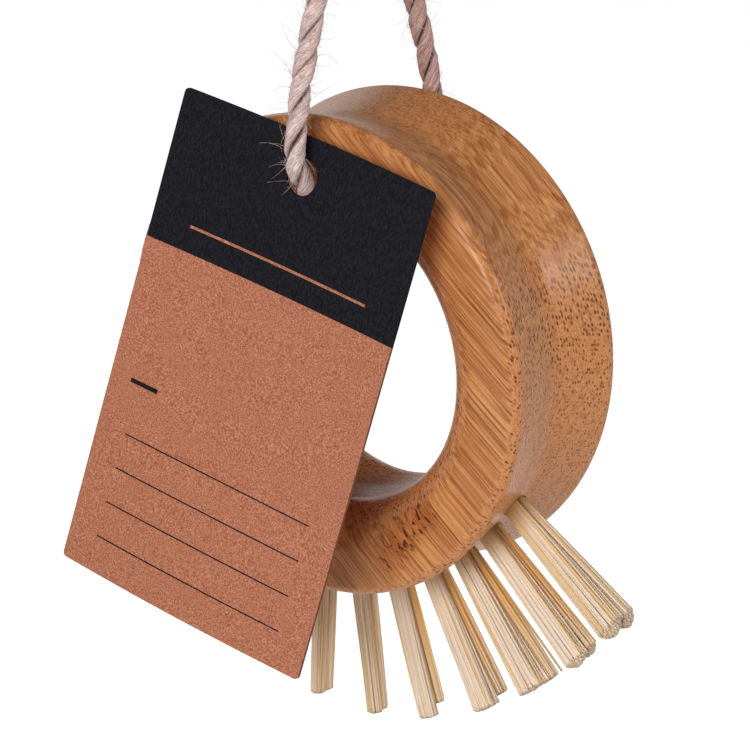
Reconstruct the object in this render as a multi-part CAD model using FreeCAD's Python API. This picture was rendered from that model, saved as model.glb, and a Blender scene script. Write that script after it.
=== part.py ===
"""Vegetable brush with a bamboo ring handle, hung on a twine loop with a card swing tag.

Millimetres, +Z up. The origin is under the knot, where a hook carries the loop. The ring's axis runs
along Y, the tag hangs on the ring's -Y side and the bristle tufts fan out downwards.
"""
import math
import os

import FreeCAD
import Part
from FreeCAD import Placement, Rotation, Vector

# Ring handle, turned from bamboo
ring_outer_d = 79.9
ring_wall = 15.2
ring_width = 27.7
outer_edge_r = 1.8
bore_edge_r = 7.4
outer_groove_depth = 2.6
outer_groove_valley_r = 9.0
bore_groove_depth = 0.3
bore_groove_valley_r = 18.0
ring_back = 0.95
ring_right = 0.65

# Row of blind holes for the tufts, round the bottom of the outer groove
tuft_count = 10
tuft_step_deg = 11.25
tuft_row_turn_deg = 2.6
tuft_hole_d = 4.6
tuft_hole_depth = 5.2
tuft_clearance = 0.05

# Bristle tufts: a bundle folded round its staple, so that it has two legs, front and back
tuft_reach = 25.65
leg_root_width = 3.8
leg_root_thickness = 2.2
leg_root_gap = 2.0
leg_straight_past_groove = 0.4
leg_tip_thickness = 2.5

# Shape of each tuft, from the right-hand end of the row to the left
tip_turn_deg = (-0.1, 2.2, 3.5, 4.6, 3.9, 4.7, 5.1, 4.6, 4.0, 3.0)
leg_tip_width = (5.0, 4.4, 5.1, 4.3, 3.6, 2.5, 2.6, 3.4, 4.2, 4.8)
leg_tip_gap = (4.6, 4.0, 4.9, 4.2, 2.2, 1.2, 1.8, 3.0, 4.0, 4.6)
front_leg_short = (2.6, 2.7, 2.5, 2.0, 1.1, 0.2, 0.0, 0.8, 1.2, 1.0)
back_leg_short = (3.0, 3.4, 2.7, 3.2, 2.9, 0.5, 0.1, 1.4, 1.8, 1.7)

# Wire staple over the fold of each tuft
staple_wire_d = 0.7
staple_width = 3.2
staple_bend_r = 0.7
staple_above_floor = 1.2
staple_bite = 1.5

# Card swing tag, placed by its hole
tag_width = 51.95
tag_height = 81.5
tag_thickness = 0.5
tag_corner_r = 0.8
tag_hole_d = 6.0
tag_hole_below_top = 6.5
tag_hole_left_of_middle = 0.37
tag_hole_right = 2.13
tag_hole_forward = 17.68
tag_hole_drop = 71.12
tag_spin_deg = 10.22
tag_tilt_deg = -11.86
tag_yaw_deg = -1.08

# Curl of the card: how far its middle bows back from its side edges, at its top and at its bottom
tag_curl_top = 1.97
tag_curl_low = -0.96

# Jute twine: from the knot down through the tag, round the top of the bore and back up to the knot
twine_d = 3.4
twine_bore_clearance = 0.3
loop_drop = 79.82
corner_share = 0.45
loop_route = (
    Vector(0.0, -1.75, 1.5),
    Vector(2.2, -18.7, -59.8),
    Vector(3.0, -20.0, -68.1),
    Vector(1.4, -15.6, -73.8),
    Vector(0.9, -12.1, -78.6),
    Vector(0.65, -6.4, -loop_drop),
    Vector(0.65, 8.3, -loop_drop),
    Vector(0.5, 14.0, -78.6),
    Vector(0.2, 17.7, -73.4),
    Vector(-0.4, 19.8, -64.8),
    Vector(0.0, 1.75, 1.5),
)

# Knot that closes the loop, and the two cut ends above it
knot_turns = 3
knot_turn_pitch = 3.1
knot_turn_r = 3.6
tail_routes = (
    (Vector(-0.6, -1.8, 8.0), Vector(-1.0, -2.6, 12.4), Vector(-2.2, -5.2, 16.4)),
    (Vector(0.6, 1.8, 8.0), Vector(1.2, 2.4, 12.8), Vector(1.6, 5.0, 18.2)),
)

# Sizes that follow from those above
ring_outer_r = ring_outer_d / 2
ring_bore_r = ring_outer_r - ring_wall
ring_half_width = ring_width / 2
groove_floor_r = ring_outer_r - outer_groove_depth
hole_floor_r = groove_floor_r - tuft_hole_depth
staple_crown_r = hole_floor_r + staple_above_floor
tuft_tip_r = ring_outer_r + tuft_reach
ring_drop = loop_drop + ring_bore_r - twine_d / 2 - twine_bore_clearance
ring_centre = Vector(ring_right, ring_back, -ring_drop)
tag_hole_at = Vector(tag_hole_right, -tag_hole_forward, -tag_hole_drop)
tag_left = tag_hole_left_of_middle - tag_width / 2
tag_low = tag_hole_below_top - tag_height


def edge_arc(r_from, y_from, r_to, y_to, centre_r, centre_y):
    """Quarter round between a flat face and the crest beside it, in the ring's section."""
    radius = math.hypot(r_from - centre_r, y_from - centre_y)
    toward = Vector((r_from + r_to) / 2 - centre_r, (y_from + y_to) / 2 - centre_y, 0)
    toward.normalize()
    middle = Vector(centre_r, centre_y, 0) + toward * radius
    return Part.Arc(Vector(r_from, y_from, 0), middle, Vector(r_to, y_to, 0)).toShape()


def groove_arcs(crest_at, into_wood, half_span, depth, valley_r):
    """Crest, valley and crest of a round groove, each tangent to the next; a negative span runs back."""
    turn = 2 * math.atan(depth / half_span)
    crest_r = half_span / math.sin(turn) - valley_r
    join_depth = depth - valley_r * (1 - math.cos(turn))
    join_y = valley_r * math.sin(turn)
    side_depth = crest_r * (1 - math.cos(turn / 2))
    side_y = half_span - crest_r * math.sin(turn / 2)

    def at(down, y):
        return Vector(crest_at + into_wood * down, y, 0)

    near = Part.Arc(at(0, -half_span), at(side_depth, -side_y), at(join_depth, -join_y))
    floor = Part.Arc(at(join_depth, -join_y), at(depth, 0), at(join_depth, join_y))
    far = Part.Arc(at(join_depth, join_y), at(side_depth, side_y), at(0, half_span))
    return [near.toShape(), floor.toShape(), far.toShape()]


def outer_side():
    """Lip, straight groove wall, valley, wall and lip round the outside, each tangent to the next."""
    reach = outer_groove_valley_r + outer_edge_r
    lip_y = ring_half_width - outer_edge_r
    rise = reach - outer_groove_depth
    slope = math.atan2(lip_y, rise) - math.acos(reach / math.hypot(lip_y, rise))
    half_lip = (math.pi / 2 + slope) / 2
    lip_r = ring_outer_r - outer_edge_r

    def lip(side, turn):
        return Vector(lip_r + outer_edge_r * math.sin(turn), side * (lip_y + outer_edge_r * math.cos(turn)), 0)

    def valley(side):
        height = outer_groove_valley_r * (1 - math.cos(slope))
        return Vector(groove_floor_r + height, side * outer_groove_valley_r * math.sin(slope), 0)

    floor = Vector(groove_floor_r, 0, 0)
    return [
        Part.Arc(lip(-1, 0), lip(-1, half_lip), lip(-1, 2 * half_lip)).toShape(),
        Part.LineSegment(lip(-1, 2 * half_lip), valley(-1)).toShape(),
        Part.Arc(valley(-1), floor, valley(1)).toShape(),
        Part.LineSegment(valley(1), lip(1, 2 * half_lip)).toShape(),
        Part.Arc(lip(1, 2 * half_lip), lip(1, half_lip), lip(1, 0)).toShape(),
    ]


def ring_blank():
    """The turned ring before drilling, with its centre at the origin and its axis along Y."""
    face_in = ring_bore_r + bore_edge_r
    face_out = ring_outer_r - outer_edge_r
    lip_y = ring_half_width - bore_edge_r
    half = ring_half_width
    outline = [Part.LineSegment(Vector(face_in, -half, 0), Vector(face_out, -half, 0)).toShape()]
    outline += outer_side()
    outline.append(Part.LineSegment(Vector(face_out, half, 0), Vector(face_in, half, 0)).toShape())
    outline.append(edge_arc(face_in, half, ring_bore_r, lip_y, face_in, lip_y))
    outline += groove_arcs(ring_bore_r, 1, -lip_y, bore_groove_depth, bore_groove_valley_r)
    outline.append(edge_arc(ring_bore_r, -lip_y, face_in, -half, face_in, -lip_y))
    return Part.Face(Part.Wire(outline)).revolve(Vector(0, 0, 0), Vector(0, 1, 0), 360)


def tuft_angle(index):
    """Angle of a tuft's hole from straight down, positive to the right."""
    return tuft_row_turn_deg + ((tuft_count - 1) / 2 - index) * tuft_step_deg


def onto_ring(shape, index):
    """Turn a shape made pointing straight down to its tuft's place round the ring."""
    shape.rotate(Vector(0, 0, 0), Vector(0, 1, 0), -tuft_angle(index))
    return shape


def tuft_hole():
    """Cutter for one blind hole, drilled from outside the groove."""
    length = ring_outer_r - hole_floor_r
    return Part.makeCylinder(tuft_hole_d / 2, length, Vector(0, 0, -hole_floor_r), Vector(0, 0, -1))


def staple():
    """U-shaped wire: its crown crosses the hole and its two points go into the hole's floor."""
    half = staple_width / 2
    crown_z = -staple_crown_r
    point_z = -(hole_floor_r - staple_bite)
    bend = staple_bend_r
    slant = bend * (1 - math.cos(math.pi / 4))
    left_top = Vector(-half, 0, crown_z + bend)
    left_in = Vector(-half + bend, 0, crown_z)
    right_in = Vector(half - bend, 0, crown_z)
    right_top = Vector(half, 0, crown_z + bend)
    path = Part.Wire([
        Part.LineSegment(Vector(-half, 0, point_z), left_top).toShape(),
        Part.Arc(left_top, Vector(-half + slant, 0, crown_z + slant), left_in).toShape(),
        Part.LineSegment(left_in, right_in).toShape(),
        Part.Arc(right_in, Vector(half - slant, 0, crown_z + slant), right_top).toShape(),
        Part.LineSegment(right_top, Vector(half, 0, point_z)).toShape(),
    ])
    return tube(path, Vector(-half, 0, point_z), Vector(0, 0, -1), staple_wire_d)


def tube(path, start, direction, diameter):
    """Round solid along a path that begins at start and sets off along direction."""
    section = Part.Wire([Part.Circle(start, direction, diameter / 2).toShape()])
    return path.makePipeShell([section], True, False)


def oval(centre, normal, width, thickness):
    """Closed oval across a leg, its width running round the ring and its thickness along Y."""
    ring = Part.Wire([Part.Ellipse(Vector(0, 0, 0), width / 2, thickness / 2).toShape()])
    ring.Placement = Placement(centre, Rotation(Vector(0, 0, -1), normal) * Rotation(Vector(1, 0, 0), 180))
    return ring


def leg(side, index):
    """One leg of a folded tuft, on the front (-1) or back (+1) side of the staple."""
    short = back_leg_short if side > 0 else front_leg_short
    tip_r = tuft_tip_r - short[index]
    turn = math.radians(tip_turn_deg[index])
    root = Vector(0, side * leg_root_gap / 2, -(staple_crown_r + 1))
    tip = Vector(tip_r * math.sin(turn), side * leg_tip_gap[index] / 2, -tip_r * math.cos(turn))
    mouth = Vector(0, root.y, -(groove_floor_r + leg_straight_past_groove))
    root_oval = oval(root, Vector(0, 0, -1), leg_root_width, leg_root_thickness)
    mouth_oval = oval(mouth, Vector(0, 0, -1), leg_root_width, leg_root_thickness)
    tip_oval = oval(tip, tip - mouth, leg_tip_width[index], leg_tip_thickness)
    return Part.makeLoft([root_oval, mouth_oval, tip_oval], True, True)


def tuft(index):
    """Folded bundle that fills its hole round the staple and leaves it as two legs."""
    radius = tuft_hole_d / 2 - tuft_clearance
    bottom = -(hole_floor_r + tuft_clearance)
    length = tuft_hole_depth - 0.4
    fold = Part.makeCylinder(radius, length, Vector(0, 0, bottom), Vector(0, 0, -1))
    bundle = fold.fuse([leg(-1, index), leg(1, index)])
    return bundle.cut(staple()).removeSplitter()


def curl(x, z):
    """How far the curled card bows back at a place beside or below its hole."""
    across = (x - tag_left) / tag_width
    down = (tag_hole_below_top - z) / tag_height
    bow = tag_curl_top * (1 - down) + tag_curl_low * down
    return bow * 4 * across * (1 - across)


def curled_stock():
    """Curled card stock that reaches past the tag's edges, with its thickness along Y."""
    spare = 2 * tag_thickness
    start = tag_left - spare
    end = tag_left + tag_width + spare
    middle = (start + end) / 2
    edges = []
    for z in (tag_low - spare, tag_hole_below_top + spare):
        front = -curl(0, 0) - tag_thickness / 2
        side = front + curl(start, z)
        crown = 2 * (front + curl(middle, z)) - side
        line = Part.BezierCurve()
        line.setPoles([Vector(start, side, z), Vector(middle, crown, z), Vector(end, side, z)])
        edges.append(line.toShape())
    return Part.makeRuledSurface(*edges).extrude(Vector(0, tag_thickness, 0))


def swing_tag():
    """Curled card with its punched hole at the local origin, then placed on the twine."""
    room = 3 * (abs(tag_curl_top) + abs(tag_curl_low) + tag_thickness)
    outline = Part.makeBox(tag_width, 2 * room, tag_height, Vector(tag_left, -room, tag_low))
    upright = [edge for edge in outline.Edges if abs(edge.tangentAt(edge.FirstParameter).y) > 0.9]
    outline = outline.makeFillet(tag_corner_r, upright)
    punch = Part.makeCylinder(tag_hole_d / 2, 2 * room, Vector(0, -room, 0), Vector(0, 1, 0))
    card = curled_stock().common(outline.cut(punch)).Solids[0]
    turn = Rotation(Vector(0, 1, 0), tag_spin_deg)
    turn = turn * Rotation(Vector(1, 0, 0), tag_tilt_deg) * Rotation(Vector(0, 0, 1), tag_yaw_deg)
    card.Placement = Placement(tag_hole_at, turn)
    return card


def route_path(points, name):
    """Straight runs joined by tangent arcs, each arc taking a share of its shorter run."""
    edges = []
    radii = []
    start = points[0]
    for before, here, after in zip(points, points[1:], points[2:]):
        back = before - here
        on = after - here
        reach = corner_share * min(back.Length, on.Length)
        back.normalize()
        on.normalize()
        half_turn = (math.pi - back.getAngle(on)) / 2
        radius = reach / math.tan(half_turn)
        inward = back + on
        inward.normalize()
        middle = here + inward * (radius / math.cos(half_turn) - radius)
        entry = here + back * reach
        leave = here + on * reach
        edges.append(Part.LineSegment(start, entry).toShape())
        edges.append(Part.Arc(entry, middle, leave).toShape())
        radii.append(round(radius, 1))
        start = leave
    edges.append(Part.LineSegment(start, points[-1]).toShape())
    path = Part.Wire(edges)
    print(name, "bend radii", radii, "length", round(path.Length, 1))
    return path


def twine_tube(points, name):
    """Twine along its route, with its volume compared with section times length."""
    path = route_path(points, name)
    solid = tube(path, points[0], points[1] - points[0], twine_d)
    expected = math.pi * twine_d ** 2 / 4 * path.Length
    print(name, "volume share", round(solid.Volume / expected, 4))
    return solid


def twine_knot(strands):
    """Turns of twine round the two strands, with room left for every strand that enters it."""
    height = (knot_turns - 1) * knot_turn_pitch
    first = twine_d / 2
    body = Part.makeCylinder(knot_turn_r, height + twine_d - 0.6, Vector(0, 0, 0.3))
    turns = []
    for number in range(knot_turns):
        middle = Vector(0, 0, first + number * knot_turn_pitch)
        turns.append(Part.makeTorus(knot_turn_r, twine_d / 2, middle, Vector(0, 0, 1)))
    return body.fuse(turns).cut(strands)


def save(shape, name):
    """Write one node and say how it came out."""
    shape.exportStep("parts/" + name + ".step")
    print(name, "solids", len(shape.Solids), "valid", shape.isValid(), "volume", round(shape.Volume, 1))


def main():
    os.makedirs("parts", exist_ok=True)
    staples = [onto_ring(staple(), index) for index in range(tuft_count)]
    holes = [onto_ring(tuft_hole(), index) for index in range(tuft_count)]
    ring = ring_blank().cut(holes).cut(staples)
    save(ring.translated(ring_centre), "ring_handle")
    for index in range(tuft_count):
        save(onto_ring(tuft(index), index).translated(ring_centre), "bristle_tuft_%02d" % (index + 1))
    save(Part.makeCompound(staples).translated(ring_centre), "tuft_staples")
    save(swing_tag(), "swing_tag")
    loop = twine_tube(loop_route, "twine_loop")
    tails = [twine_tube(route, "twine_tails") for route in tail_routes]
    save(loop, "twine_loop")
    save(twine_knot([loop] + tails), "twine_knot")
    save(Part.makeCompound(tails), "twine_tails")


main()
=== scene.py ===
"""Looks of the vegetable brush: bamboo ring, fibre tufts, card tag and jute twine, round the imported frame.

Lengths are written in millimetres in the part's own frame and turned into metres where a mesh is made.
Colours are written as display values from 0 to 255.
"""
import math
import random

import bpy
import numpy as np
from mathutils import Matrix, Vector, noise


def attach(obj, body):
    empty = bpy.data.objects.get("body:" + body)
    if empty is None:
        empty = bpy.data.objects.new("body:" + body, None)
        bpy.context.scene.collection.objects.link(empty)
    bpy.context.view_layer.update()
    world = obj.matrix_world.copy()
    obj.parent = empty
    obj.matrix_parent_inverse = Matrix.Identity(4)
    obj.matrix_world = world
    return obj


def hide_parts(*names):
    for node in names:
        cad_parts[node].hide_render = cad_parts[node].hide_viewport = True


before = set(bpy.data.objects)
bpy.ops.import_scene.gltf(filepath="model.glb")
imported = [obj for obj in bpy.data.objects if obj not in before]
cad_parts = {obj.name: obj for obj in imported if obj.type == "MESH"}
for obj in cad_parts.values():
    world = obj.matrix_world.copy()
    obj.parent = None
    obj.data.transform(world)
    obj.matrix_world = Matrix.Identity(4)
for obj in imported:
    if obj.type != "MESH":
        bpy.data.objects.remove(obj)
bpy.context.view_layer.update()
MM = 0.001
FULL_TURN = 2 * math.pi

# Camera, at the photograph's viewing angle
camera_azimuth_deg = 38.43
camera_elevation_deg = 17.82
camera_target = (1.430, 1.5, -108.827)
camera_distance = 599.66
camera_lens = 174.82
camera_sensor = 36.0
camera_clip_start = 10.0

# Jute twine: a route close to the one in the part's source, its runs bowed as the photograph shows
twine_d = 3.4
loop_route = (
    (0.0, -1.75, 1.5),
    (2.0, -9.6, -30.0),
    (1.95, -17.9, -56.1),
    (2.4, -19.3, -62.5),
    (2.4, -20.4, -68.1),
    (1.4, -15.6, -73.8),
    (0.9, -12.1, -78.6),
    (0.65, -6.4, -79.82),
    (0.65, 8.3, -79.82),
    (0.5, 14.0, -78.6),
    (0.2, 17.7, -73.4),
    (-0.2, 19.9, -64.8),
    (-1.8, 10.3, -34.0),
    (0.0, 1.75, 1.5),
)
tail_routes = (
    ((-0.6, -1.8, 8.0), (-1.0, -2.6, 12.4), (-2.2, -5.2, 16.4)),
    ((0.6, 1.8, 8.0), (1.2, 2.4, 12.8), (1.6, 5.0, 18.2)),
)
rope_step = 0.35
twine_seed = 41

# Knot: turns of twine, tucked in at both ends, round the two strands of the loop
knot_turns = 3.5
knot_turn_r = 3.6
knot_bottom = 0.9
knot_top = 8.7
knot_points = 160
knot_start_turn = 0.8
knot_tuck_share = 0.12
knot_tuck_depth = 0.45
knot_strand = ((0.3, 1.75, -0.6), (0.6, 1.8, 9.6))

# How the twine is laid up: two soft plies, pressed flat against each other
ply_count = 2
ply_pitch = 12.0
ply_half_depth = 1.02
ply_half_width = 1.36
ply_offset = 0.68
ply_sides = 22
ply_lobes = 9
ply_lobe_depth = 0.035
lobe_pitch = 15.0
streak_pitch = 60.0
streak_apart = 5
# Painted shade on the side of each ply that faces the twine's core, where the plies meet: where it starts
# and how far it fades
crease_shade_from = -0.66
crease_shade_span = 0.46

# Unevenness of the plies: how much, how quickly it changes, and how far apart two plies' patterns lie
wander_turn = 0.35
wander_rate = 0.11
wander_apart = 3.1
wander_phase = 5
swell_share = 0.10
swell_rate = 0.21
swell_apart = 7.3
rough_share = 0.08
rough_rate = 0.45
rough_apart = 9
rough_around = 2.2

# Loose fibres of the twine: count, longest, part of the line that they leave, and how far they stand off
whole_line = (0.0, 1.0)
stand_off = (0.35, 1.0)
lie_close = (0.0, 0.22)
loop_fuzz = (
    (420, 5.0, whole_line, stand_off),
    (1500, 2.6, whole_line, lie_close),
    (70, 7.0, (0.26, 0.38), stand_off),
)
knot_fuzz = (90, 3.5, whole_line, stand_off)
tail_fuzz = (30, 3.0, whole_line, stand_off)
hair_steps = 7
hair_sides = 3
hair_r = 0.035
hair_taper = 0.6
hair_curl = 1.3
hair_shortest = 1.0
hair_start = 0.42
hair_forward = (0.3, 1.0)
hair_sideways = (-0.6, 0.6)

# Frayed cut ends of the twine
end_hairs = 46
end_hair_spread = 1.45
end_hair_inset = 0.5
end_hair_lean = (0.0, 0.5)
end_hair_length = (0.9, 2.6)
end_hair_curl = 0.7
end_hair_r = 0.07

# Jute colours, with painted shade in the creases where the plies meet and on the back strand, which comes in
# over this distance behind the middle
jute_dark = (204, 166, 158)
jute_pale = (254, 236, 230)
loose_dark = (188, 146, 134)
loose_pale = (250, 232, 224)
jute_thread = (150, 100, 86)
jute_blotch = (196, 156, 138)
jute_crease_shade = (78, 44, 36)
back_strand_shade = (0.78, 0.66, 0.62)
back_shade_reach = 6.0

# Ring and tufts, as in the part's source, from the right-hand end of the row to the left
ring_centre = (0.65, 0.95, -102.57)
tuft_step_deg = 11.25
tuft_row_turn_deg = 2.6
tuft_tip_r = 65.6
mouth_r = 37.75
leg_root_width = 3.8
leg_root_thickness = 2.2
leg_root_gap = 2.0
leg_tip_thickness = 2.5
tip_turn_deg = (-0.1, 2.2, 3.5, 4.6, 3.9, 4.7, 5.1, 4.6, 4.0, 3.0)
leg_tip_width = (5.0, 4.4, 5.1, 4.3, 3.6, 2.5, 2.6, 3.4, 4.2, 4.8)
leg_tip_gap = (4.6, 4.0, 4.9, 4.2, 2.2, 1.2, 1.8, 3.0, 4.0, 4.6)
front_leg_short = (2.6, 2.7, 2.5, 2.0, 1.1, 0.2, 0.0, 0.8, 1.2, 1.0)
back_leg_short = (3.0, 3.4, 2.7, 3.2, 2.9, 0.5, 0.1, 1.4, 1.8, 1.7)

# Bristles in a tuft: they start deep in the hole, spread toward the tip and are cut to a low dome there
bristles_per_leg = 150
bristle_root_r = 33.9
bristle_width = (0.44, 0.70)
bristle_thickness = (0.28, 0.38)
bristle_sides = 6
bristle_spans = 5
golden_angle = 2.399963
turn_jitter = 0.2
bristle_wobble = 0.08
flat_wobble = 0.3
tip_spread = 0.35
inner_fill_limit = 0.1
tip_dome = (1.7, 1.1, 0.3, 0.3, 0.3, 0.3, 0.3, 0.4, 0.4, 0.4)
cut_spread = (-0.16, 0.10)
short_share = 0.06
short_by = 0.4
stray_share = 0.02
stray_gain = 2.0
cut_end_shares = (0.985, 0.999, 1.0)
cut_end_taper = (0.95, 0.65)
cut_rim_shade = 0.6
tuft_seed = 700

# Single fibres that stand off a tuft: the tuft's index, the fibre's turn and reach, and its start's offset
stray_fibres = ((2, 7.4, 62.8, 1.9),)
stray_back = 1.5
stray_long_way = (0.16, 0.10, 0.0)
stray_short_way = (-0.08, 0.12, 0.0)
stray_number = 999

# Bristle colours, and where in the row each of them lies; amber, straw on some legs, brown and the root
# colour are painted shade
cream = (242, 221, 199)
straw = (230, 196, 136)
# Amber is painted shade: the shaded back legs, glowing with light that passes through the fibres
painted_shade_amber = (226, 160, 54)
# Brown is painted shade: the tag's shadow on the left-hand tufts
painted_shadow_brown = (224, 176, 122)
stray_colour = (196, 160, 92)
# The root colour is painted shade where the tufts leave the ring
bristle_root_shade = (204, 166, 114)
bristle_line_colour = (206, 160, 96)
cream_share = 0.86
# Painted amber shade: where it starts across each tuft's back leg, its least share, and how far it turns to
# straw at the tip
painted_amber_from = (2.0, 0.45, -0.3, -0.8, 0.2, 2.0, 2.0, 0.2, 0.2, 0.2)
painted_amber_least = 0.6
painted_amber_tip_straw = 0.6
# Straw on the back leg of one tuft and on the left of another's front leg is painted shade on the sides away
# from the light
shaded_straw_back_tuft = 4
shaded_straw_front_tuft = 0
shaded_straw_front_to = -0.2
# Painted brown shade: from which tuft on, and how much
painted_brown_from_tuft = 5
painted_brown_least = 0.1
painted_brown_more = 0.4
# Tan tint on each fibre's narrow edges
edge_tan_tint = (0.92, 0.84, 0.66)
edge_from = 0.9
tip_colour_gain = 1.6
# Painted shade near the root, where the tuft leaves the ring's groove: where it ends and how far it fades
root_shade_from = 3.8
root_shade_span = 6.0
bristle_apart = (3.1, 5.7)

# Bamboo: slant of its fibres in the ring's plane, and where its node lies along and across them
fibre_slant_deg = 39.06
node_at = 96.0
node_middle = -88.0
node_half_length = (0.8, 4.4)
node_half_width = (6.0, 9.0)

# Bamboo: heights between which the dots of its end grain grow fainter, and how faint they get
calm_from = -90.0
calm_to = -70.0
calm_least = 0.35

# Bamboo: how each pattern is drawn out along the fibres
vessel_stretch = (0.004, 1.0, 1.0)
fine_stretch = (0.03, 1.0, 1.0)
stripe_stretch = (0.012, 1.0, 1.0)
line_stretch = (0.012, 0.3, 1.0)
patch_stretch = (0.35, 1.0, 1.0)
fibre_sway = (0.0, 2.2, 2.2)

# Bamboo colours
wood_dark = (184, 113, 60)
wood_pale = (224, 158, 104)
wood_stripe = (146, 70, 18)
wood_line_dark = (140, 68, 20)
wood_line_pale = (236, 176, 112)
wood_vessel = (98, 44, 12)
node_stain = (168, 84, 24)
node_speck = (70, 28, 8)

# Swing tag, as in the part's source
tag_hole_at = (2.13, -17.68, -71.12)
tag_spin_deg = 10.22
tag_tilt_deg = -11.86
tag_yaw_deg = -1.08
tag_hole_below_top = 6.5

# Print on the tag: a dark band, a rule across it, a dash and lines to write on, by middle and half size
band_height = 25.3
band_rule = (0.5, -14.6, 18.5, 0.22)
print_bars = (
    (-18.3, -42.2, 2.9, 0.38),
    (0.5, -51.0, 20.0, 0.12),
    (0.5, -57.0, 20.0, 0.12),
    (0.5, -63.0, 20.0, 0.12),
    (0.5, -69.0, 20.0, 0.12),
)

# Card colours, with painted shade on the cut edges, and how far a face turns from the front before it counts
# as a cut edge or as the back
kraft_dark = (150, 82, 55)
kraft_pale = (214, 146, 115)
shred_pale = (226, 168, 138)
shred_dark = (142, 84, 60)
kraft_cloud = (176, 108, 80)
kraft_edge_shade = (84, 48, 36)
ink_dark = (8, 8, 12)
ink_pale = (38, 36, 44)
cut_edge_below = 0.7
back_below = -0.5

# Staple wire colours
wire_dark = (150, 150, 152)
wire_pale = (196, 196, 198)

# Floor and room, in metres: what the eye sees, and the softer level that lights the object
floor_z = -0.36
floor_r = 6.0
floor_sides = 64
floor_albedo = 0.6
floor_glow = 0.93
floor_fill = 0.16
room_white_to = 0.08
room_grey_from = 0.28
room_grey = 0.15
room_fill = 0.36

# Lamps: azimuth and elevation in degrees, distance and size in metres, power in watts
lamps = {
    "key": (18, 22, 0.95, 0.44, 6.0),
    "right_rear": (109, 25, 0.9, 0.25, 2.4),
    "left_rear": (-120, 22, 0.9, 0.3, 0.9),
    "left_front": (-8, 20, 0.95, 0.18, 0.35),
}


def colour(red, green, blue):
    """A display colour from 0 to 255 as the linear colour that a shader takes."""
    def linear(value):
        value = value / 255
        return value / 12.92 if value <= 0.04045 else ((value + 0.055) / 1.055) ** 2.4
    return (linear(red), linear(green), linear(blue), 1.0)


def tint_of(display_colour):
    """The same for a colour that is kept on a mesh."""
    return np.array(colour(*display_colour)[:3])


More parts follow.
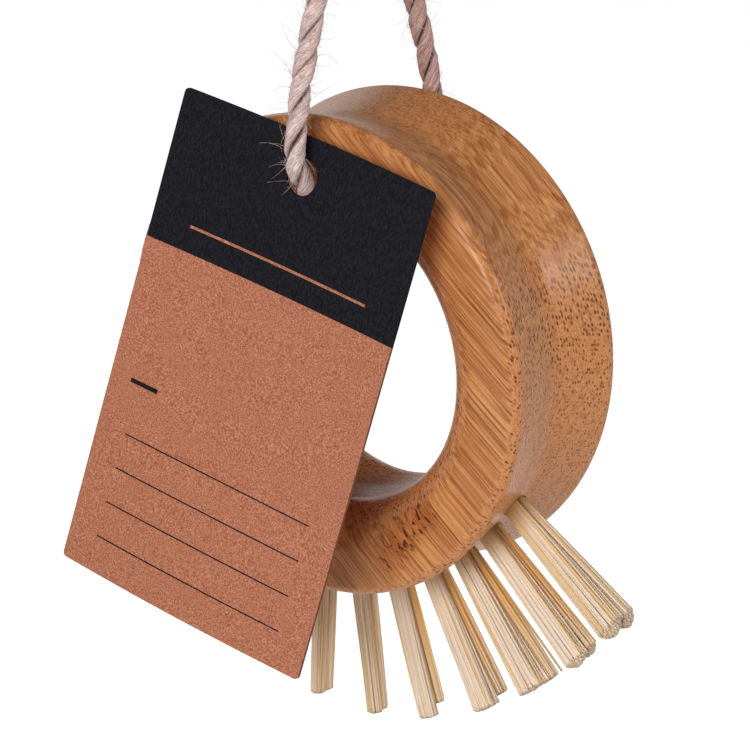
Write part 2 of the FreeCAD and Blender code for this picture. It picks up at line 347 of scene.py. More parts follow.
class Graph:
    """Short calls for building the nodes of one material."""

    def __init__(self, name):
        self.material = bpy.data.materials.new(name)
        self.material.use_nodes = True
        self.tree = self.material.node_tree
        self.shader = self.tree.nodes["Principled BSDF"]

    def add(self, kind, **settings):
        node = self.tree.nodes.new(kind)
        for key, value in settings.items():
            setattr(node, key, value)
        return node

    def put(self, socket, value):
        """Link a socket to another one, or set it to a value."""
        if isinstance(value, bpy.types.NodeSocket):
            self.tree.links.new(value, socket)
        else:
            socket.default_value = value

    def shade(self, **values):
        """Set the shader's sockets; an underscore in a key stands for a space in the socket's name."""
        for name, value in values.items():
            self.put(self.shader.inputs[name.replace("_", " ")], value)

    def math(self, operation, first, second=0.0):
        node = self.add("ShaderNodeMath", operation=operation)
        self.put(node.inputs[0], first)
        self.put(node.inputs[1], second)
        return node.outputs[0]

    def vector(self, operation, first, second):
        node = self.add("ShaderNodeVectorMath", operation=operation)
        self.put(node.inputs[0], first)
        self.put(node.inputs[1], second)
        return node.outputs[0]

    def mix(self, factor, first, second, blend="MIX"):
        """A mix of two colours; sockets 6 and 7 and output 2 are the node's colour ones."""
        node = self.add("ShaderNodeMix", data_type="RGBA", blend_type=blend)
        self.put(node.inputs[0], factor)
        self.put(node.inputs[6], first)
        self.put(node.inputs[7], second)
        return node.outputs[2]

    def blend(self, mask, share, first, second):
        """The second colour over the first, as far as a mask and a share of it go."""
        return self.mix(self.math("MULTIPLY", mask, share), first, second)

    def span(self, value, low, high, to_low=0.0, to_high=1.0):
        """A smooth step of a value from low to high."""
        node = self.add("ShaderNodeMapRange", interpolation_type="SMOOTHSTEP")
        for socket, number in zip(node.inputs, (value, low, high, to_low, to_high)):
            self.put(socket, number)
        return node.outputs[0]

    def noise(self, place, scale, detail=2.0, rough=0.5, output="Fac"):
        node = self.add("ShaderNodeTexNoise")
        self.put(node.inputs["Vector"], place)
        node.inputs["Scale"].default_value = scale
        node.inputs["Detail"].default_value = detail
        node.inputs["Roughness"].default_value = rough
        return node.outputs[output]

    def stretched(self, place, stretch, scale, detail=2.0, rough=0.5):
        """Noise that is drawn out along the axes with a small stretch."""
        return self.noise(self.vector("MULTIPLY", place, stretch), scale, detail, rough)

    def sway(self, place, scale, detail, reach):
        """A soft shift to either side, for bending a pattern's lines."""
        shift = self.noise(place, scale, detail, output="Color")
        return self.vector("MULTIPLY", self.vector("SUBTRACT", shift, (0.5, 0.5, 0.5)), reach)

    def cells(self, place, scale, randomness):
        node = self.add("ShaderNodeTexVoronoi")
        self.put(node.inputs["Vector"], place)
        node.inputs["Scale"].default_value = scale
        node.inputs["Randomness"].default_value = randomness
        return node.outputs["Distance"]

    def bump(self, height, strength, distance):
        node = self.add("ShaderNodeBump")
        node.inputs["Strength"].default_value = strength
        node.inputs["Distance"].default_value = distance
        self.put(node.inputs["Height"], height)
        self.put(self.shader.inputs["Normal"], node.outputs["Normal"])

    def bar(self, x, z, middle_x, middle_z, half_width, half_height):
        """One inside an upright rectangle, and zero outside it."""
        in_width = self.math("LESS_THAN", self.away(x, middle_x), half_width)
        in_height = self.math("LESS_THAN", self.away(z, middle_z), half_height)
        return self.math("MULTIPLY", in_width, in_height)

    def away(self, value, middle):
        """How far a value lies from a middle, to either side."""
        return self.math("ABSOLUTE", self.math("SUBTRACT", value, middle))

    def axes(self, place):
        node = self.add("ShaderNodeSeparateXYZ")
        self.put(node.inputs[0], place)
        return node.outputs

    def facing(self, direction):
        """How far the surface faces a direction that is fixed in the object, from -1 to 1."""
        node = self.add("ShaderNodeVectorMath", operation="DOT_PRODUCT")
        self.put(node.inputs[0], self.add("ShaderNodeTexCoord").outputs["Normal"])
        node.inputs[1].default_value = direction
        return node.outputs["Value"]

    def object_place(self):
        return self.add("ShaderNodeTexCoord").outputs["Object"]

    def attribute(self, name, output):
        return self.add("ShaderNodeAttribute", attribute_name=name).outputs[output]


def bamboo_material():
    """Bamboo whose fibres run straight through the ring, aslant in its plane, with one node across them."""
    g = Graph("bamboo")
    slant = math.radians(fibre_slant_deg)
    turn = g.add("ShaderNodeMapping", vector_type="POINT")
    g.put(turn.inputs["Vector"], g.object_place())
    turn.inputs["Rotation"].default_value = (0, -slant, 0)
    turn.inputs["Scale"].default_value = (1 / MM, 1 / MM, 1 / MM)
    place = turn.outputs["Vector"]
    along = g.vector("ADD", place, g.sway(place, scale=0.03, detail=1.0, reach=fibre_sway))

    # Ground: fine grain, with broad dark stripes along the fibres
    fine = g.stretched(along, fine_stretch, scale=3.6, detail=4.0, rough=0.75)
    stripe = g.stretched(along, stripe_stretch, scale=0.8, detail=3.0, rough=0.6)
    base = g.mix(g.span(fine, 0.32, 0.68), colour(*wood_dark), colour(*wood_pale))
    base = g.blend(g.span(stripe, 0.50, 0.66), 0.35, base, colour(*wood_stripe))

    # Dark and pale lines where the fibres lie along the surface
    end_on = g.math("ABSOLUTE", g.facing((math.cos(slant), 0, -math.sin(slant))))
    long_grain = g.math("SUBTRACT", 1.0, g.span(end_on, 0.15, 0.5))
    line = g.stretched(along, line_stretch, scale=2.5, detail=1.0)
    base = g.blend(long_grain, g.span(line, 0.47, 0.34, 0.0, 0.5), base, colour(*wood_line_dark))
    base = g.blend(long_grain, g.span(line, 0.56, 0.66, 0.0, 0.5), base, colour(*wood_line_pale))

    # Dots of the vessels, strongest where the fibres end at the surface
    vessel_place = g.vector("MULTIPLY", along, vessel_stretch)
    vessel = g.span(g.cells(vessel_place, scale=1.75, randomness=0.6), 0.24, 0.47, 1.0, 0.0)
    patch = g.span(g.stretched(place, patch_stretch, scale=0.07), 0.35, 0.65, 0.65, 0.95)
    end_grain = g.span(end_on, 0.25, 0.5, 0.5, 1.0)
    calm = g.span(g.axes(g.object_place())["Z"], calm_from * MM, calm_to * MM, 1.0, calm_least)
    strength = g.math("MULTIPLY", patch, g.math("MULTIPLY", end_grain, calm))
    base = g.blend(vessel, strength, base, colour(*wood_vessel))

    # The node: a stain with dark specks
    axes = g.axes(place)
    near = g.math("MULTIPLY", g.span(g.away(axes["X"], node_at), *node_half_length, 1.0, 0.0),
                  g.span(g.away(axes["Z"], node_middle), *node_half_width, 1.0, 0.0))
    speck = g.stretched(place, patch_stretch, scale=1.25, detail=3.0, rough=0.7)
    base = g.blend(near, 0.55, base, colour(*node_stain))
    base = g.blend(near, g.span(speck, 0.52, 0.60), base, colour(*node_speck))

    g.shade(Base_Color=base, Roughness=0.5, Specular_IOR_Level=0.05)
    g.shade(Coat_Weight=0.42, Coat_Roughness=0.26, Coat_IOR=1.45)
    g.bump(g.math("SUBTRACT", g.math("MULTIPLY", fine, 0.3), vessel), strength=0.3, distance=0.12 * MM)
    return g.material


def card_material():
    """Kraft card, its front printed with a dark band, a dash and thin rules."""
    g = Graph("kraft_card")
    local = g.add("ShaderNodeMapping", vector_type="TEXTURE")
    g.put(local.inputs["Vector"], g.object_place())
    local.inputs["Location"].default_value = Vector(tag_hole_at) * MM
    local.inputs["Rotation"].default_value = tag_turn().to_euler("XYZ")
    local.inputs["Scale"].default_value = (MM, MM, MM)
    place = local.outputs["Vector"]
    axes = g.axes(place)

    # Kraft fibres: flakes, pale and dark shreds, and a cloudy stain
    flake = g.noise(place, scale=3.6, detail=3.0, rough=0.8)
    shred = g.stretched(place, (1.0, 1.0, 3.0), scale=1.1, rough=0.6)
    cloud = g.noise(place, scale=0.22)
    kraft = g.mix(g.span(flake, 0.34, 0.66), colour(*kraft_dark), colour(*kraft_pale))
    kraft = g.blend(g.span(shred, 0.60, 0.72), 0.45, kraft, colour(*shred_pale))
    kraft = g.blend(g.span(shred, 0.40, 0.28), 0.45, kraft, colour(*shred_dark))
    kraft = g.blend(g.span(cloud, 0.4, 0.7), 0.18, kraft, colour(*kraft_cloud))
    grain = g.stretched(place, (1.0, 1.0, 0.4), scale=3.6, detail=3.0, rough=0.8)
    ink = g.mix(g.span(grain, 0.36, 0.70), colour(*ink_dark), colour(*ink_pale))

    # Where the ink lies: on the front and the edges, not on the back
    inked = g.math("GREATER_THAN", axes["Z"], tag_hole_below_top - band_height)
    inked = g.math("SUBTRACT", inked, g.bar(axes["X"], axes["Z"], *band_rule))
    for bar in print_bars:
        inked = g.math("MAXIMUM", inked, g.bar(axes["X"], axes["Z"], *bar))
    front = g.facing(tag_turn() @ Vector((0, -1, 0)))
    inked = g.math("MULTIPLY", inked, g.math("GREATER_THAN", front, back_below))
    # Painted shade on the card's cut edges
    shaded_cut_edge = g.math("LESS_THAN", g.math("ABSOLUTE", front), cut_edge_below)
    kraft = g.blend(shaded_cut_edge, 0.7, kraft, colour(*kraft_edge_shade))

    g.shade(Base_Color=g.mix(inked, kraft, ink), Roughness=0.85, Specular_IOR_Level=0.15)
    g.bump(flake, strength=0.35, distance=0.08 * MM)
    return g.material


def jute_material(name, dark, pale):
    """Jute fibre: streaks along each ply, with painted shade where plies meet."""
    g = Graph(name)
    sway = g.sway(g.object_place(), scale=420.0, detail=2.0, reach=(0.9, 0.9, 0.0))
    strand = g.vector("ADD", g.attribute("strand", "Vector"), sway)
    streak = g.stretched(strand, (3.0, 3.0, 0.22), scale=1.0, detail=3.0, rough=0.7)
    thread = g.stretched(strand, (8.0, 8.0, 0.45), scale=1.0, rough=0.6)
    blotch = g.noise(g.object_place(), scale=130.0)
    lit = g.mix(g.span(streak, 0.3, 0.7), colour(*dark), colour(*pale))
    lit = g.blend(g.span(thread, 0.52, 0.36), 0.75, lit, colour(*jute_thread))
    lit = g.blend(g.span(blotch, 0.45, 0.75), 0.25, lit, colour(*jute_blotch))
    # The tint attribute carries the back strand's painted shade
    lit = g.mix(1.0, lit, g.attribute("tint", "Color"), "MULTIPLY")
    # Painted shade: the crease colour where the plies meet
    base = g.mix(g.attribute("unshaded", "Fac"), colour(*jute_crease_shade), lit)
    g.shade(Base_Color=base, Roughness=0.8, Sheen_Weight=0.15)
    g.bump(g.math("ADD", streak, g.math("MULTIPLY", thread, 0.5)), strength=0.7, distance=0.2 * MM)
    return g.material


def bristle_material():
    """Stiff plant fibre with its own tint and faint lengthwise lines, with painted shade where it leaves the
    ring.
    """
    g = Graph("bristle")
    streak = g.stretched(g.attribute("strand", "Vector"), (1.6, 1.6, 0.05), scale=1.0, rough=0.6)
    # Painted shade where the fibre leaves the ring
    tint = g.mix(g.attribute("unshaded", "Fac"), colour(*bristle_root_shade), g.attribute("tint", "Color"))
    base = g.mix(g.span(streak, 0.45, 0.8, 0.0, 0.28), tint, colour(*bristle_line_colour))
    g.shade(Base_Color=base, Roughness=0.5)
    g.bump(streak, strength=0.3, distance=0.08 * MM)
    return g.material


def steel_material():
    """Drawn wire, a little uneven in colour and polish."""
    g = Graph("staple_wire")
    grain = g.noise(g.object_place(), scale=2500.0, rough=0.6)
    g.shade(Base_Color=g.mix(grain, colour(*wire_dark), colour(*wire_pale)), Metallic=1.0)
    g.shade(Roughness=g.span(grain, 0.3, 0.7, 0.28, 0.45))
    return g.material


def tag_turn():
    """The tag's rotation in the part's frame."""
    spin = Matrix.Rotation(math.radians(tag_spin_deg), 3, "Y")
    tilt = Matrix.Rotation(math.radians(tag_tilt_deg), 3, "X")
    yaw = Matrix.Rotation(math.radians(tag_yaw_deg), 3, "Z")
    return spin @ tilt @ yaw


class Strands:
    """Collects many swept strands into one mesh, with a place along and round each of them."""

    def __init__(self):
        self.verts = []
        self.faces = []
        self.strand = []
        self.unshaded = []
        self.tint = []
        self.count = 0

    def sweep(self, rings, strand, unshaded, tint):
        """Add one strand; rings is steps x sides x 3 in millimetres, and one face closes each end."""
        steps, sides = rings.shape[:2]
        base = self.count
        self.verts.append(rings.reshape(-1, 3))
        self.strand.append(strand.reshape(-1, 3))
        self.unshaded.append(np.broadcast_to(unshaded, (steps, sides)).reshape(-1))
        self.tint.append(np.broadcast_to(tint, (steps, sides, 3)).reshape(-1, 3))
        for i in range(steps - 1):
            for j in range(sides):
                k = (j + 1) % sides
                low = base + i * sides
                self.faces.append((low + j, low + k, low + sides + k, low + sides + j))
        self.faces.append(tuple(base + j for j in reversed(range(sides))))
        last = base + (steps - 1) * sides
        self.faces.append(tuple(last + j for j in range(sides)))
        self.count += steps * sides

    def finish(self, name, material):
        """Make the mesh, with what its material reads, and return its object."""
        mesh = bpy.data.meshes.new(name)
        mesh.from_pydata((np.concatenate(self.verts) * MM).tolist(), [], self.faces)
        tint = np.concatenate(self.tint)
        tint = np.concatenate([tint, np.ones((len(tint), 1))], axis=1)
        fields = (
            ("strand", "FLOAT_VECTOR", "vector", np.concatenate(self.strand)),
            ("unshaded", "FLOAT", "value", np.concatenate(self.unshaded)),
            ("tint", "FLOAT_COLOR", "color", tint),
        )
        for label, kind, key, values in fields:
            field = mesh.attributes.new(label, kind, "POINT")
            field.data.foreach_set(key, values.astype(np.float32).ravel())
        mesh.shade_smooth()
        mesh.materials.append(material)
        piece = bpy.data.objects.new(name, mesh)
        bpy.context.scene.collection.objects.link(piece)
        return piece


def spline_points(route, step):
    """Evenly spaced points, in millimetres, along the NURBS spline of a route."""
    curve = bpy.data.curves.new("route", "CURVE")
    curve.dimensions = "3D"
    curve.resolution_u = 32
    spline = curve.splines.new("NURBS")
    spline.points.add(len(route) - 1)
    for point, place in zip(spline.points, route):
        point.co = (place[0] * MM, place[1] * MM, place[2] * MM, 1)
    spline.order_u = 3
    spline.use_endpoint_u = True
    holder = bpy.data.objects.new("route", curve)
    mesh = bpy.data.meshes.new_from_object(holder)
    line = np.array([vert.co for vert in mesh.vertices]) / MM
    bpy.data.objects.remove(holder)
    bpy.data.meshes.remove(mesh)
    bpy.data.curves.remove(curve)
    return even(line, step)


def distance_along(line):
    """How far each point of a line lies from its start, along it."""
    return np.concatenate([[0], np.cumsum(np.linalg.norm(np.diff(line, axis=0), axis=1))])


def even(line, step):
    """The same line with points an even distance apart."""
    gone = distance_along(line)
    count = max(3, int(round(gone[-1] / step)) + 1)
    at = np.linspace(0, gone[-1], count)
    return np.stack([np.interp(at, gone, line[:, axis]) for axis in range(3)], axis=1)


def frames(line):
    """Distance along a line, its direction, and two side directions that don't twist along it."""
    ahead = np.gradient(line, axis=0)
    ahead /= np.linalg.norm(ahead, axis=1, keepdims=True)
    side = np.zeros_like(line)
    any_side = (0.3, 0.9, 0.2)
    start = np.cross(ahead[0], any_side)
    side[0] = start / np.linalg.norm(start)
    for i in range(1, len(line)):
        step = side[i - 1] - ahead[i] * np.dot(side[i - 1], ahead[i])
        side[i] = step / np.linalg.norm(step)
    return distance_along(line), ahead, side, np.cross(ahead, side)


def drift(places):
    """A soft random value at each of some places, close to that of its neighbours."""
    return np.array([noise.noise(Vector(place)) for place in places])


def add_rope(strands, line, phase, tint=(1, 1, 1)):
    """Lay the plies round a line, right-handed, each a soft, lumpy strand that is wider than deep."""
    gone, ahead, side, up = frames(line)
    around = np.linspace(0, FULL_TURN, ply_sides, endpoint=False)
    for ply in range(ply_count):
        wander = drift((g * wander_rate, ply * wander_apart, phase + wander_phase) for g in gone)
        turn = phase + FULL_TURN * (ply / ply_count + gone / ply_pitch) + wander_turn * wander
        swell = drift((g * swell_rate, ply * swell_apart, phase) for g in gone)
        out = np.cos(turn)[:, None] * side + np.sin(turn)[:, None] * up
        beside = np.cross(ahead, out)
        lobe = around[None, :] * ply_lobes + (FULL_TURN * gone / lobe_pitch)[:, None]
        rough = []
        for a in around:
            x = rough_around * math.cos(a) + ply * rough_apart
            y = rough_around * math.sin(a)
            rough.append(drift((x, y, g * rough_rate + phase) for g in gone))
        rough = np.stack(rough, axis=1)
        size = 1 + swell_share * swell[:, None] + ply_lobe_depth * np.cos(lobe) + rough_share * rough
        depth_part = (ply_half_depth * size * np.cos(around))[:, :, None] * out[:, None]
        width_part = (ply_half_width * size * np.sin(around))[:, :, None] * beside[:, None]
        rings = line[:, None] + ply_offset * out[:, None] + depth_part + width_part
        # Painted shade on the side of the ply that meets the other ply
        unshaded = np.clip((np.cos(around) - crease_shade_from) / crease_shade_span, 0, 1)
        twist = around[None, :] - (FULL_TURN * gone / streak_pitch)[:, None]
        length = np.repeat(gone[:, None], ply_sides, 1)
        place = np.stack([np.cos(twist) + ply * streak_apart, np.sin(twist), length], axis=2)
        strands.sweep(rings, place, unshaded[None, :], tint)


def add_hair(strands, start, heading, length, curl, rng, thick=hair_r):
    """One loose fibre that leaves the twine and bends as it goes."""
    line = [np.array(start)]
    way = np.array(heading) / np.linalg.norm(heading)
    bend = np.array([rng.gauss(0, 1), rng.gauss(0, 1), rng.gauss(0, 1)]) * curl
    for _ in range(hair_steps):
        line.append(line[-1] + way * length / hair_steps)
        way = way + bend / hair_steps
        way /= np.linalg.norm(way)
    line = np.array(line)
    gone, _, side, up = frames(line)
    around = np.linspace(0, FULL_TURN, hair_sides, endpoint=False)
    radius = thick * (1 - hair_taper * gone / gone[-1])
    ring = np.cos(around)[None, :, None] * side[:, None] + np.sin(around)[None, :, None] * up[:, None]
    rings = line[:, None] + radius[:, None, None] * ring
    place = np.repeat(np.stack([gone * 0, gone * 0, gone], axis=1)[:, None], hair_sides, 1)
    strands.sweep(rings, place, 1.0, (1, 1, 1))


def add_fuzz(strands, line, rng, count, longest, part, lift):
    """Loose fibres along part of a line."""
    _, ahead, side, up = frames(line)
    low, high = part
    for _ in range(count):
        i = int((low + (high - low) * rng.random()) * (len(line) - 1))
        turn = rng.uniform(0, FULL_TURN)
        out = math.cos(turn) * side[i] + math.sin(turn) * up[i]
        way = out * rng.uniform(*lift) + ahead[i] * rng.choice((-1, 1)) * rng.uniform(*hair_forward)
        way = way + np.cross(ahead[i], out) * rng.uniform(*hair_sideways)
        length = hair_shortest + (longest - hair_shortest) * rng.random() ** 2
        add_hair(strands, line[i] + out * twine_d * hair_start, way, length, hair_curl, rng)


def add_frayed_end(strands, line, rng):
    """Short fibres that stand out of the cut end of a line."""
    _, ahead, side, up = frames(line)
    for _ in range(end_hairs):
        turn = rng.uniform(0, FULL_TURN)
        spread = rng.random() ** 0.5 * end_hair_spread
        out = math.cos(turn) * side[-1] + math.sin(turn) * up[-1]
        start = line[-1] + out * spread - ahead[-1] * end_hair_inset
        way = ahead[-1] + out * rng.uniform(*end_hair_lean)
        length = rng.uniform(*end_hair_length)
        add_hair(strands, start, way, length, end_hair_curl, rng, end_hair_r)


def knot_wrap():
    """Line of the knot's turns, drawn in at both ends."""
    at = np.linspace(0, 1, knot_points)
    angle = FULL_TURN * knot_turns * at + knot_start_turn
    tuck = np.clip((knot_tuck_share - np.minimum(at, 1 - at)) / knot_tuck_share, 0, 1)
    radius = knot_turn_r * (1 - knot_tuck_depth * tuck ** 2)
    height = knot_bottom + (knot_top - knot_bottom) * at
    return even(np.stack([radius * np.cos(angle), radius * np.sin(angle), height], axis=1), rope_step)


def twine():
    """Loop, knot, tails and loose fibres of the jute twine."""
    rng = random.Random(twine_seed)
    jute = jute_material("jute", jute_dark, jute_pale)
    hairs = Strands()

    line = spline_points(loop_route, rope_step)
    loop = Strands()
    # Painted shade on the back strand, darker behind the middle
    behind = np.clip(line[:, 1] / back_shade_reach, 0, 1)[:, None, None]
    add_rope(loop, line, phase=0.6, tint=1 - behind * (1 - np.array(back_strand_shade)))
    loop_piece = loop.finish("twine_cord", jute)
    for fuzz in loop_fuzz:
        add_fuzz(hairs, line, rng, *fuzz)

    knot = Strands()
    wrap = knot_wrap()
    add_rope(knot, wrap, phase=2.1)
    for side in (-1, 1):
        core = np.array([(x * side, y * side, z) for x, y, z in knot_strand])
        add_rope(knot, even(core, rope_step), phase=1.0 + side)
    knot_piece = knot.finish("twine_knot_wraps", jute)
    add_fuzz(hairs, wrap, rng, *knot_fuzz)

    tails = Strands()
    for number, route in enumerate(tail_routes):
        tail = spline_points(route, rope_step)
        add_rope(tails, tail, phase=0.3 + 2 * number)
        add_fuzz(hairs, tail, rng, *tail_fuzz)
        add_frayed_end(hairs, tail, rng)
    tail_piece = tails.finish("twine_cut_ends", jute)
    hair_piece = hairs.finish("twine_loose_fibres", jute_material("jute_fibre", loose_dark, loose_pale))

    pieces = (loop_piece, knot_piece, tail_piece, hair_piece)
    for piece in pieces:
        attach(piece, "hanger")
    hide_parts("twine_loop")
    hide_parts("twine_knot")
    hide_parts("twine_tails")


def mixed(first, second, share):
    """A place or a colour between two others."""
    return first * (1 - share) + second * share


def bristle_tint(index, side, u, rng):
    """Colours of one bristle's flat at the ring and at its tip, with painted shade on some legs and tufts.
    """
    share = rng.random()
    base = tint_of(cream if rng.random() < cream_share else straw)
    # Painted shade: the back leg's shaded side, amber with light that passes through the fibres, fading to
    # straw at the tip
    if side > 0 and u > painted_amber_from[index]:
        share = painted_amber_least + (1 - painted_amber_least) * share
        return mixed(base, tint_of(painted_shade_amber), share), mixed(base, tint_of(straw), painted_amber_tip_straw * share)
    # Painted shade: straw on the sides of these legs that face away from the light
    shaded_straw_back = side > 0 and index == shaded_straw_back_tuft
    shaded_straw_front = side < 0 and index == shaded_straw_front_tuft and u < shaded_straw_front_to
    if shaded_straw_back or shaded_straw_front:
        base = mixed(base, tint_of(straw), share)
    # Painted shade: the tufts in the tag's shadow are browner
    if index >= painted_brown_from_tuft:
        base = mixed(base, tint_of(painted_shadow_brown), painted_brown_least + painted_brown_more * share)
    return base, base


def leg_ends(index, side):
    """Where one leg of a tuft starts, leaves the ring and is cut, before the tuft is turned to its hole."""
    short = back_leg_short if side > 0 else front_leg_short
    tip_r = tuft_tip_r - short[index]
    turn = math.radians(tip_turn_deg[index])
    root = np.array([0, side * leg_root_gap / 2, -bristle_root_r])
    mouth = np.array([0, side * leg_root_gap / 2, -mouth_r])
    tip = np.array([tip_r * math.sin(turn), side * leg_tip_gap[index] / 2, -tip_r * math.cos(turn)])
    return root, mouth, tip


def add_bristle(strands, line, long_way, short_way, tints, number, turn):
    """One flat fibre along a line, with tan edges and a pale cut end inside a dark rim."""
    around = np.linspace(0, FULL_TURN, bristle_sides, endpoint=False)
    gone = distance_along(line)
    taper = np.ones(len(line))
    taper[-2:] = cut_end_taper
    ring = np.cos(around)[:, None] * long_way + np.sin(around)[:, None] * short_way
    rings = (line[:, None] + ring[None] * taper[:, None, None]) @ turn.T + np.array(ring_centre)
    place = np.stack([np.repeat(np.cos(around)[None] + number * bristle_apart[0], len(line), 0),
                      np.repeat(np.sin(around)[None] + number * bristle_apart[1], len(line), 0),
                      np.repeat(gone[:, None], bristle_sides, 1)], axis=2)
    on_edge = np.abs(np.cos(around)) > edge_from
    late = np.clip(gone / gone[-1] * tip_colour_gain - (tip_colour_gain - 1), 0, 1)[:, None, None]
    flat_tint = mixed(tints[0], tints[1], late)
    tint = np.where(on_edge[None, :, None], flat_tint * np.array(edge_tan_tint), flat_tint)
    tint[-2] *= cut_rim_shade
    tint[-1] = tints[1]
    # Painted shade near the root, where the fibre leaves the ring
    unshaded = np.clip((gone - root_shade_from) / root_shade_span, 0, 1)[:, None]
    strands.sweep(rings, place, unshaded, tint)


def add_leg(strands, index, side, rng, shares, spin):
    """One leg of a tuft; toward the tip its inner fibres spread out to close the gap between the legs."""
    root, mouth, tip = leg_ends(index, side)
    down = (tip - mouth) / np.linalg.norm(tip - mouth)
    wide = np.cross(down, (0, 1, 0))
    wide /= np.linalg.norm(wide)
    thick = np.cross(wide, down)
    for number in range(bristles_per_leg):
        r = math.sqrt((number + 0.5) / bristles_per_leg)
        a = number * golden_angle + rng.uniform(-turn_jitter, turn_jitter)
        u = r * math.cos(a)
        v = r * math.sin(a)
        width = rng.uniform(*bristle_width)
        thin = rng.uniform(*bristle_thickness)
        wobble = bristle_wobble * (stray_gain if rng.random() < stray_share else 1.0)
        inner = v * side < 0
        u_share = u / math.sqrt(max(inner_fill_limit, 1 - v * v)) if inner else u
        tip_depth = leg_tip_gap[index] if inner else leg_tip_thickness + tip_spread
        u_tip = u_share * (leg_tip_width[index] + tip_spread - width) / 2 + rng.gauss(0, 1) * wobble
        v_tip = v * (tip_depth - thin) / 2 + rng.gauss(0, 1) * wobble
        cut = rng.uniform(*cut_spread) - short_by * (rng.random() < short_share)
        cut += tip_dome[index] * (1 - r * r)
        u_root = u * (leg_root_width - width) / 2
        v_root = v * (leg_root_thickness - thin) / 2
        shift = wide * u_root + np.array([0, v_root, 0])
        last = tip + wide * u_tip + thick * v_tip + down * cut
        bow = wide * rng.gauss(0, 1) * wobble + thick * rng.gauss(0, 1) * wobble
        line = [root + shift]
        for t in shares:
            line.append(mixed(mouth + shift, last, t) + bow * 4 * t * (1 - t))
        flat = math.atan2(v / leg_root_thickness, u / leg_root_width) + math.pi / 2
        flat += rng.gauss(0, flat_wobble)
        flat_way = wide * math.cos(flat) + thick * math.sin(flat)
        long_way = flat_way * width / 2
        short_way = np.cross(down, flat_way) * thin / 2
        tints = bristle_tint(index, side, u, rng)
        add_bristle(strands, np.array(line), long_way, short_way, tints, number, spin)


def tuft(index, material):
    """One tuft: two legs of many stiff flat fibres, cut off together at the tip."""
    rng = random.Random(tuft_seed + index)
    strands = Strands()
    from_middle = (len(tip_turn_deg) - 1) / 2 - index
    hole = math.radians(tuft_row_turn_deg + from_middle * tuft_step_deg)
    spin = np.array([[math.cos(hole), 0, -math.sin(hole)], [0, 1, 0], [math.sin(hole), 0, math.cos(hole)]])
    shares = (*np.linspace(0, 1, bristle_spans, endpoint=False), *cut_end_shares)
    for side in (-1, 1):
        add_leg(strands, index, side, rng, shares, spin)
    for owner, turn_deg, reach, beside in stray_fibres:
        if owner == index:
            root, mouth, _ = leg_ends(index, 1)
            turn = math.radians(turn_deg)
            first = mouth + np.array([beside, 0, 0])
            last = np.array([reach * math.sin(turn), stray_back, -reach * math.cos(turn)])
            line = np.array([root] + [mixed(first, last, t) for t in shares])
            tints = [tint_of(stray_colour)] * 2
            add_bristle(strands, line, np.array(stray_long_way), np.array(stray_short_way), tints,
                        stray_number, spin)
    piece = strands.finish("tuft_fibres_%02d" % (index + 1), material)
    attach(piece, "brush")
    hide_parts("bristle_tuft_%02d" % (index + 1))


def dress(node, material):
    """Give a CAD node its material."""
    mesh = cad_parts[node].data
    mesh.materials.clear()
    mesh.materials.append(material)


def floor_material():
    """Pale and matt, white to the eye and in reflections, and a soft light from below for the object."""
    g = Graph("floor")
    g.tree.nodes.remove(g.shader)
    plain = g.add("ShaderNodeBsdfDiffuse")
    plain.inputs["Color"].default_value = (floor_albedo, floor_albedo, floor_albedo, 1)
    ray = g.add("ShaderNodeLightPath").outputs
    seen = g.math("MAXIMUM", ray["Is Camera Ray"], ray["Is Glossy Ray"])
    seen = g.math("MAXIMUM", seen, ray["Is Transmission Ray"])
    white = g.add("ShaderNodeEmission")
    fill = g.math("MULTIPLY", ray["Is Diffuse Ray"], floor_fill)
    g.put(white.inputs["Strength"], g.math("MAXIMUM", fill, g.math("MULTIPLY", seen, floor_glow)))
    both = g.add("ShaderNodeAddShader")
    g.put(both.inputs[0], plain.outputs[0])
    g.put(both.inputs[1], white.outputs[0])
    g.put(g.tree.nodes["Material Output"].inputs["Surface"], both.outputs[0])
    return g.material


def floor():
    """A round floor well below the hanging brush."""
    mesh = bpy.data.meshes.new("floor")
    angles = np.linspace(0, FULL_TURN, floor_sides, endpoint=False)
    rim = [(floor_r * math.cos(a), floor_r * math.sin(a), floor_z) for a in angles]
    mesh.from_pydata(rim, [], [tuple(range(len(rim)))])
    mesh.materials.append(floor_material())
    piece = bpy.data.objects.new("floor", mesh)
    bpy.context.scene.collection.objects.link(piece)


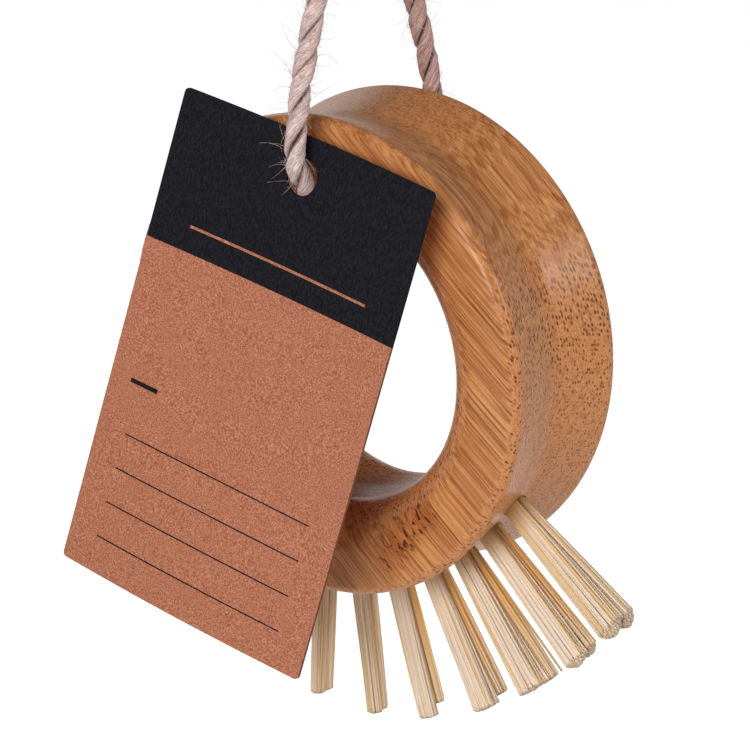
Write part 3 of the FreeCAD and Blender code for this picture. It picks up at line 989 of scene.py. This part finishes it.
def room():
    """A white room that turns grey upward, dimmer where it lights the object than where it is seen."""
    world = bpy.data.worlds.new("room")
    world.use_nodes = True
    tree = world.node_tree

    def ramp(value, *limits):
        node = tree.nodes.new("ShaderNodeMapRange")
        for socket, number in zip(node.inputs[1:5], limits):
            socket.default_value = number
        tree.links.new(value, node.inputs[0])
        return node.outputs[0]

    way = tree.nodes.new("ShaderNodeTexCoord")
    split = tree.nodes.new("ShaderNodeSeparateXYZ")
    tree.links.new(way.outputs["Generated"], split.inputs[0])
    ray = tree.nodes.new("ShaderNodeLightPath").outputs
    strength = tree.nodes.new("ShaderNodeMath")
    strength.operation = "MULTIPLY"
    shade = ramp(split.outputs["Z"], room_white_to, room_grey_from, 1.0, room_grey)
    level = ramp(ray["Is Diffuse Ray"], 0.0, 1.0, 1.0, room_fill)
    tree.links.new(shade, strength.inputs[0])
    tree.links.new(level, strength.inputs[1])
    light = tree.nodes["Background"]
    light.inputs["Color"].default_value = (1, 1, 1, 1)
    tree.links.new(strength.outputs[0], light.inputs["Strength"])
    bpy.context.scene.world = world


def aim(name, data, azimuth_deg, elevation_deg, distance):
    """Place a lamp or a camera at a viewing angle, turned to the object; distance is in metres."""
    a = math.radians(azimuth_deg)
    e = math.radians(elevation_deg)
    way = Vector((math.sin(a) * math.cos(e), -math.cos(a) * math.cos(e), math.sin(e)))
    holder = bpy.data.objects.new(name, data)
    holder.location = Vector(camera_target) * MM + way * distance
    holder.rotation_euler = way.to_track_quat("Z", "Y").to_euler()
    bpy.context.scene.collection.objects.link(holder)
    return holder


def lamp(name, azimuth_deg, elevation_deg, distance, size, power):
    """Square soft light that points at the object."""
    light = bpy.data.lights.new(name, "AREA")
    light.size = size
    light.energy = power
    aim(name, light, azimuth_deg, elevation_deg, distance)


def camera():
    """The camera of the photograph."""
    lens = bpy.data.cameras.new("camera")
    lens.lens = camera_lens
    lens.sensor_width = camera_sensor
    lens.clip_start = camera_clip_start * MM
    holder = aim("camera", lens, camera_azimuth_deg, camera_elevation_deg, camera_distance * MM)
    bpy.context.scene.camera = holder


camera()
twine()
fibre = bristle_material()
for tuft_index in range(len(tip_turn_deg)):
    tuft(tuft_index, fibre)
dress("ring_handle", bamboo_material())
dress("tuft_staples", steel_material())
dress("swing_tag", card_material())
floor()
room()
for lamp_name, lamp_setting in lamps.items():
    lamp(lamp_name, *lamp_setting)
bpy.context.scene.view_settings.view_transform = "Standard"
